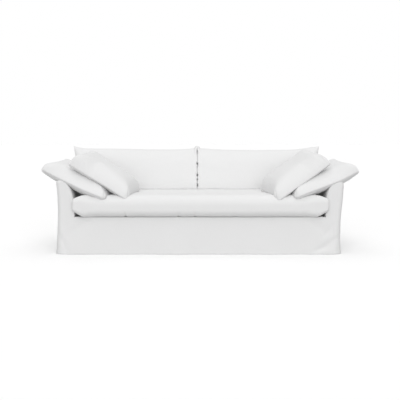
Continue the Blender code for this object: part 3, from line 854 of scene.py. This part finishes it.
def makeBackCushion(sizes, cushion):
    span = cushion["span"]
    outerSign = cushion["outerSign"]
    floor = seatSizes["top"] + sizes["rest"]
    foot = floor - sizes["sink"]
    bm = blockMesh(sizes["cuts"])
    bm.normal_update()
    boxUv(bm, span[1] - span[0], sizes["cutDepth"], sizes["top"] - foot)

    # how full the split's wall is at a height
    def splitFull(across, height):
        full = between(sizes["innerWall"], 1.0, fullness(across, *sizes["innerSide"]))
        for notchZ, notchShare, notchWidth in sizes["splitNotches"]:
            notch = notchShare * math.exp(-(((height - notchZ) / notchWidth) ** 2))
            full *= 1.0 - notch * abs(across) ** sizes["notchPower"]
        return full

    def place(unit):
        acrossCrowding, upCrowding = sizes["crowding"]
        across, up, depth = crowd(unit.x, acrossCrowding), crowd(unit.z, upCrowding), unit.y
        outer = outerSign * across > 0.0
        height = between(foot, sizes["top"], 0.5 + 0.5 * up)
        free = smoothStep((height - sizes["freeZ"][0]) / (sizes["freeZ"][1] - sizes["freeZ"][0]))
        left, right = span
        if outerSign < 0:
            left = between(-sizes["footSide"], left, free)
        else:
            right = between(sizes["footSide"], right, free)
        draw = sizes["draw"] * (1.0 - up * up) * free if outer else 0.0
        half = 0.5 * (right - left)
        x = 0.5 * (left + right) + across * (half - draw * abs(across) ** 3)
        if outer:
            earFrom, earPower = sizes["earOutShape"]
            earRise = smoothStep((up - earFrom) / (1.0 - earFrom))
            x += outerSign * cushion["earOut"] * earRise * abs(across) ** earPower
        else:
            x += unevenness(Vector((0.0, 0.0, height)), sizes["splitWobble"]) * abs(across) ** 6
        earHeight, earPower = cushion["outerEar"] if outer else sizes["innerEar"]
        ear = earHeight * abs(across) ** earPower
        if not outer:
            knobHeight, knobStart, knobWidth = sizes["knob"]
            ear += knobHeight * smoothStep((abs(across) - knobStart) / knobWidth)
        ear *= smoothStep(2.0 * up - 1.0)
        inward = 0.5 - 0.5 * outerSign * across
        sag = between(*cushion["sag"], smoothStep(inward / cushion["sagShare"]))
        z = height + ear - sag * smoothStep(0.5 + 0.5 * up)
        full = fullness(across, *sizes["outerSide"]) if outer else splitFull(across, height)
        full *= fullness(up, *sizes["headAndFoot"])
        y = between(sizes["footY"], sizes["headY"], 0.5 + 0.5 * up)
        y += depth * (0.5 * sizes["edge"] + sizes["crown"] * full)
        return Vector((x, y, max(z, floor)))

    shapeBlock(bm, place)
    uneven = [(*row, cushion["seed"]) for row in sizes["uneven"]]
    for vert in bm.verts:
        shift = unevenness(vert.co, uneven)
        shift *= smoothStep(abs(vert.co.x - sizes["splitX"]) / sizes["splitFade"])
        if vert.co.z > floor + sizes["flatFoot"]:
            vert.co += vert.normal * shift
        vert.co.z = max(vert.co.z, floor)
        # the foot follows the seat where that sags
        hit = seatTree.ray_cast(Vector((vert.co.x, vert.co.y, sizes["top"])), Vector((0.0, 0.0, -1.0)))
        if hit[0] is not None:
            low = smoothStep(1.0 - (vert.co.z - floor) / sizes["footBlend"])
            vert.co.z -= low * (seatSizes["top"] - hit[0].z)
    return addPiece(cushion["name"], bm, [cushion["node"]])


print("stage: back cushions")
seatTree = treeOf(seat)
for cushion in backCushions:
    makeBackCushion(backSizes, cushion)

pillowSizes = {
    "edge": 0.005,
    "draw": 0.008,
    # fullness over and under the seam, as a power and a root
    "outerEnd": (12.0, 0.32),
    "innerEnd": (3.2, 0.52),
    "sides": (4.0, 0.5),
    "bluntSides": (10.0, 0.34),
    "bluntFrom": 0.3,
    "bluntBlend": 0.6,
    "underEnds": (8.0, 0.5),
    "underSides": (5.0, 0.6),
    "cornerBluntness": 5.0,
    "pathSteps": 240,
    "cuts": (76, 70, 0),
    "cutDepth": 0.01,
    "crowding": 0.45,
    "restGap": 0.0006,
    "overAll": 2.0,  # a height over everything, from where the carriers are looked for
    "fill": 0.5,
}
pillowCloth = {
    "spare": 1.055,  # how much larger the cloth is cut than the placed form
    "pressure": 1.6,
    "frames": 18,
    "quality": 6,
    "tension": 15.0,
    "compression": 15.0,
    "shear": 3.0,
    "bending": 0.15,
    "hold": 0.35,
    "mostMove": 0.012,  # the settled cloth stays this close to the placed form
}
# The corner is the outer front one, and the heading turns the pillow on the plan. The slopes are at its
# outer and its inner end, and the bend lies between two distances from the outer end. The fullness is over
# and under the seam, the rise is towards the rear, and the rounds are of the outer and the inner corners.
pillows = [
    {
        "name": "pillowLeftArm", "node": "pillow_left_arm", "side": -1,
        "corner": (-1.366, -0.498, 0.735), "heading": 9.0, "slopes": (25.5, 20.0), "bend": (0.30, 0.50),
        "length": 0.618, "width": 0.55, "full": (0.080, 0.054), "rise": 2.4,
        "rounds": (0.012, 0.050), "blunt": 0.6,
    },
    {
        "name": "pillowLeftLeaning", "node": "pillow_left_leaning", "side": -1,
        "corner": (-1.130, -0.495, 0.780), "heading": 7.0, "slopes": (30.5, 31.5), "bend": (0.20, 0.50),
        "length": 0.604, "width": 0.52, "full": (0.120, 0.036), "rise": 3.3,
        "rounds": (0.010, 0.060), "blunt": 1.0,
    },
    {
        "name": "pillowRightArm", "node": "pillow_right_arm", "side": 1,
        "corner": (1.370, -0.498, 0.721), "heading": 9.0, "slopes": (26.0, 19.5), "bend": (0.10, 0.30),
        "length": 0.612, "width": 0.55, "full": (0.085, 0.054), "rise": 3.5,
        "rounds": (0.012, 0.050), "blunt": 0.6,
    },
    {
        "name": "pillowRightLeaning", "node": "pillow_right_leaning", "side": 1,
        "corner": (1.130, -0.478, 0.788), "heading": 11.0, "slopes": (36.0, 33.5), "bend": (0.08, 0.30),
        "length": 0.588, "width": 0.54, "full": (0.120, 0.034), "rise": 5.2,
        "rounds": (0.024, 0.060), "blunt": 0.25,
    },
]


# two fullnesses together: fuller into the corners than their plain product
def bluntProduct(one, other, bluntness):
    if one <= 0.0 or other <= 0.0:
        return 0.0
    return (one ** -bluntness + other ** -bluntness - 1.0) ** (-1.0 / bluntness)


# lets the cloth of a filled piece settle: it keeps its cut lengths while the filling presses out
def relaxCloth(piece, cut, held, look):
    piece.shape_key_add(name="placed")
    flat = piece.shape_key_add(name="cut")
    for index, place in enumerate(cut):
        flat.data[index].co = place
    group = piece.vertex_groups.new(name="seam")
    for index, weight in enumerate(held):
        if weight > 0.0:
            group.add([index], weight, "REPLACE")
    cloth = piece.modifiers.new("settle", "CLOTH")
    settings = cloth.settings
    settings.rest_shape_key = flat
    settings.vertex_group_mass = "seam"
    settings.pin_stiffness = 1.0
    settings.quality = look["quality"]
    settings.tension_stiffness = look["tension"]
    settings.compression_stiffness = look["compression"]
    settings.shear_stiffness = look["shear"]
    settings.bending_stiffness = look["bending"]
    settings.use_pressure = True
    settings.uniform_pressure_force = look["pressure"]
    settings.effector_weights.gravity = 0.0
    cloth.collision_settings.use_collision = False
    cloth.collision_settings.use_self_collision = False
    cloth.point_cache.frame_start = 1
    cloth.point_cache.frame_end = look["frames"]
    scene = bpy.context.scene
    for step in range(1, look["frames"] + 1):
        scene.frame_set(step)
    settled = piece.evaluated_get(bpy.context.evaluated_depsgraph_get())
    places = [vert.co.copy() for vert in settled.to_mesh().vertices]
    settled.to_mesh_clear()
    piece.modifiers.clear()
    piece.shape_key_clear()
    scene.frame_set(1)
    most = look["mostMove"]
    for vert, place in zip(piece.data.vertices, places):
        move = place - vert.co
        if move.length > 0.0:
            vert.co += move.normalized() * most * math.tanh(move.length / most)


# one round of subdivision, kept as mesh
def refine(piece):
    smooth = piece.modifiers.new("smooth", "SUBSURF")
    smooth.levels = smooth.render_levels = 1
    shaped = piece.evaluated_get(bpy.context.evaluated_depsgraph_get())
    mesh = bpy.data.meshes.new_from_object(shaped)
    piece.modifiers.clear()
    old = piece.data
    piece.data = mesh
    bpy.data.meshes.remove(old)


# moves a point of a rectangle so that its corners come out round
def roundCorner(u, v, halfLength, halfWidth, radii):
    radius = radii[u > 0.0]
    coreU = max(radius - halfLength, min(halfLength - radius, u))
    coreV = max(radius - halfWidth, min(halfWidth - radius, v))
    offU, offV = u - coreU, v - coreV
    length = math.hypot(offU, offV)
    if length == 0.0:
        return u, v
    shrink = max(abs(offU), abs(offV)) / length
    return coreU + offU * shrink, coreV + offV * shrink


def makePillow(sizes, pillow):
    length, width, sign = pillow["length"], pillow["width"], pillow["side"]
    turn = math.radians(pillow["heading"])
    rise = math.radians(pillow["rise"])
    ahead = Vector((-sign * math.cos(turn), -math.sin(turn), 0.0))
    rear = Vector((-sign * math.sin(turn), math.cos(turn), 0.0)) * math.cos(rise)
    rear.z = math.sin(rise)
    bm = blockMesh(sizes["cuts"])
    bm.normal_update()
    boxUv(bm, length, width, sizes["cutDepth"])

    def slopeAt(travel):
        bendStart, bendEnd = pillow["bend"]
        share = smoothStep((travel - bendStart) / (bendEnd - bendStart))
        return math.radians(between(*pillow["slopes"], share))

    steps = sizes["pathSteps"]
    path = [Vector(pillow["corner"])]
    for step in range(steps):
        slope = slopeAt((step + 0.5) * length / steps)
        way = ahead * math.cos(slope) - Vector((0.0, 0.0, math.sin(slope)))
        path.append(path[-1] + way * length / steps)

    def pathAt(travel):
        place = min(steps - 1e-6, max(0.0, travel / length * steps))
        index = int(place)
        return path[index].lerp(path[index + 1], place - index)

    def rounded(along, across):
        halfLength, halfWidth = 0.5 * length, 0.5 * width
        return roundCorner(halfLength * along, halfWidth * across, halfLength, halfWidth, pillow["rounds"])

    def place(unit):
        along, across, side = crowd(unit.x, sizes["crowding"]), crowd(unit.y, sizes["crowding"]), unit.z
        drawnAlong = along * (1.0 - sizes["draw"] / length * 2.0 * (1.0 - across * across) * abs(along) ** 3)
        drawnAcross = across * (1.0 - sizes["draw"] / width * 2.0 * (1.0 - along * along) * abs(across) ** 3)
        u, v = rounded(drawnAlong, drawnAcross)
        travel = 0.5 * length + u
        slope = slopeAt(travel)
        normal = ahead * math.sin(slope) + Vector((0.0, 0.0, math.cos(slope)))
        over, under = pillow["full"]
        if side > 0.0:
            blunt = pillow["blunt"] * smoothStep((-along - sizes["bluntFrom"]) / sizes["bluntBlend"])
            end = sizes["outerEnd"] if along < 0.0 else sizes["innerEnd"]
            edge = [between(*pair, blunt) for pair in zip(sizes["sides"], sizes["bluntSides"])]
            most = over
        else:
            end, edge, most = sizes["underEnds"], sizes["underSides"], under
        full = most * bluntProduct(fullness(along, *end), fullness(across, *edge), sizes["cornerBluntness"])
        return pathAt(travel) + rear * (0.5 * width + v) + normal * side * (0.5 * sizes["edge"] + full)

    cut, held = [], []
    spare = pillowCloth["spare"]
    for vert in bm.verts:
        u, v = rounded(crowd(vert.co.x, sizes["crowding"]), crowd(vert.co.y, sizes["crowding"]))
        cut.append(Vector((u * spare, v * spare, 0.5 * sizes["edge"] * vert.co.z)))
        sewn = max(abs(vert.co.x), abs(vert.co.y)) > 0.999
        held.append(pillowCloth["hold"] if sewn else 0.0)
    shapeBlock(bm, place)
    piece = addPiece(pillow["name"], bm, [pillow["node"]])
    relaxCloth(piece, cut, held, pillowCloth)
    refine(piece)
    return piece


# presses a soft piece up where it would sink into what carries it
def restOn(piece, carriers):
    down = Vector((0.0, 0.0, -1.0))
    trees = [treeOf(carrier) for carrier in carriers]
    for vert in piece.data.vertices:
        for tree in trees:
            hit = tree.ray_cast(Vector((vert.co.x, vert.co.y, pillowSizes["overAll"])), down)
            if hit[0] is not None and vert.co.z < hit[0].z + pillowSizes["restGap"]:
                vert.co.z = hit[0].z + pillowSizes["restGap"]


print("stage: pillows")
objects = bpy.data.objects
for pillow in pillows:
    piece = makePillow(pillowSizes, pillow)
    side = "Left" if pillow["side"] < 0 else "Right"
    below = [seat, objects[f"coverInsideArm{side}"], objects[f"coverOutsideArm{side}"]]
    if "Leaning" in pillow["name"]:
        below.append(objects[f"pillow{side}Arm"])
    restOn(piece, below)

studio = {
    "cameraPlace": (0.0, -7.01, 1.05),
    "cameraTilt": 5.108,
    "lens": 68.31,
    "sensor": 36.0,
    "farthest": 200.0,
    "skyLight": 0.79,
    "skySeen": 1.0,
    "skySideDrop": 0.68,
    # name, strength, height over the horizon, softness, the last two in degrees
    "lights": [
        ("frontLight", 1.10, 28.0, 60.0),
        ("overheadLight", 0.62, 90.0, 90.0),
    ],
    "lampPlace": (0.0, -3.0, 4.0),
    "floorReach": 60.0,
    "floorSeen": (0.99, 0.99, 0.99, 1.0),
    "floorBounce": (0.63, 0.63, 0.63, 1.0),
}


def addFloor(settings):
    bm = bmesh.new()
    bmesh.ops.create_grid(bm, x_segments=1, y_segments=1, size=settings["floorReach"])
    mesh = bpy.data.meshes.new("studioFloor")
    bm.to_mesh(mesh)
    bm.free()
    floor = bpy.data.objects.new("studioFloor", mesh)
    bpy.context.scene.collection.objects.link(floor)
    material = bpy.data.materials.new("studioFloor")
    material.use_nodes = True
    nodes, links = material.node_tree.nodes, material.node_tree.links
    path = nodes.new("ShaderNodeLightPath")
    tone = nodes.new("ShaderNodeMix")
    tone.data_type = "RGBA"
    tone.inputs["A"].default_value = settings["floorBounce"]
    tone.inputs["B"].default_value = settings["floorSeen"]
    links.new(path.outputs["Is Camera Ray"], tone.inputs["Factor"])
    shader = nodes["Principled BSDF"]
    links.new(tone.outputs["Result"], shader.inputs["Base Color"])
    shader.inputs["Roughness"].default_value = 1.0
    shader.inputs["Specular IOR Level"].default_value = 0.0
    mesh.materials.append(material)


# A pale room: dimmer as a light than it looks, so that the sides of the sofa stay greyer.
def addSky(settings):
    world = bpy.data.worlds.new("studio")
    world.use_nodes = True
    nodes, links = world.node_tree.nodes, world.node_tree.links
    path = nodes.new("ShaderNodeLightPath")
    strength = nodes.new("ShaderNodeMapRange")
    strength.inputs["To Max"].default_value = settings["skySeen"]
    links.new(path.outputs["Is Camera Ray"], strength.inputs["Value"])
    way = nodes.new("ShaderNodeTexCoord")
    split = nodes.new("ShaderNodeSeparateXYZ")
    links.new(way.outputs["Generated"], split.inputs["Vector"])
    square = nodes.new("ShaderNodeMath")
    square.operation = "MULTIPLY"
    links.new(split.outputs["X"], square.inputs[0])
    links.new(split.outputs["X"], square.inputs[1])
    dim = nodes.new("ShaderNodeMapRange")
    dim.inputs["To Min"].default_value = settings["skyLight"]
    dim.inputs["To Max"].default_value = settings["skyLight"] * (1.0 - settings["skySideDrop"])
    links.new(square.outputs[0], dim.inputs["Value"])
    links.new(dim.outputs["Result"], strength.inputs["To Min"])
    nodes["Background"].inputs["Color"].default_value = (1.0, 1.0, 1.0, 1.0)
    links.new(strength.outputs["Result"], nodes["Background"].inputs["Strength"])
    bpy.context.scene.world = world


def addLights(settings):
    for name, strength, height, softness in settings["lights"]:
        light = bpy.data.lights.new(name, "SUN")
        light.energy = strength
        light.angle = math.radians(softness)
        lamp = bpy.data.objects.new(name, light)
        lamp.location = settings["lampPlace"]
        lamp.rotation_euler = (math.radians(90.0 - height), 0.0, 0.0)
        bpy.context.scene.collection.objects.link(lamp)


def addCamera(settings):
    camera = bpy.data.cameras.new("photoView")
    camera.lens = settings["lens"]
    camera.sensor_width = settings["sensor"]
    camera.clip_end = settings["farthest"]
    eye = bpy.data.objects.new("photoView", camera)
    eye.location = settings["cameraPlace"]
    eye.rotation_euler = (math.radians(90.0 - settings["cameraTilt"]), 0.0, 0.0)
    bpy.context.scene.collection.objects.link(eye)
    bpy.context.scene.camera = eye
    bpy.context.scene.view_settings.view_transform = "Standard"


print("stage: studio")
addFloor(studio)
addSky(studio)
addLights(studio)
addCamera(studio)
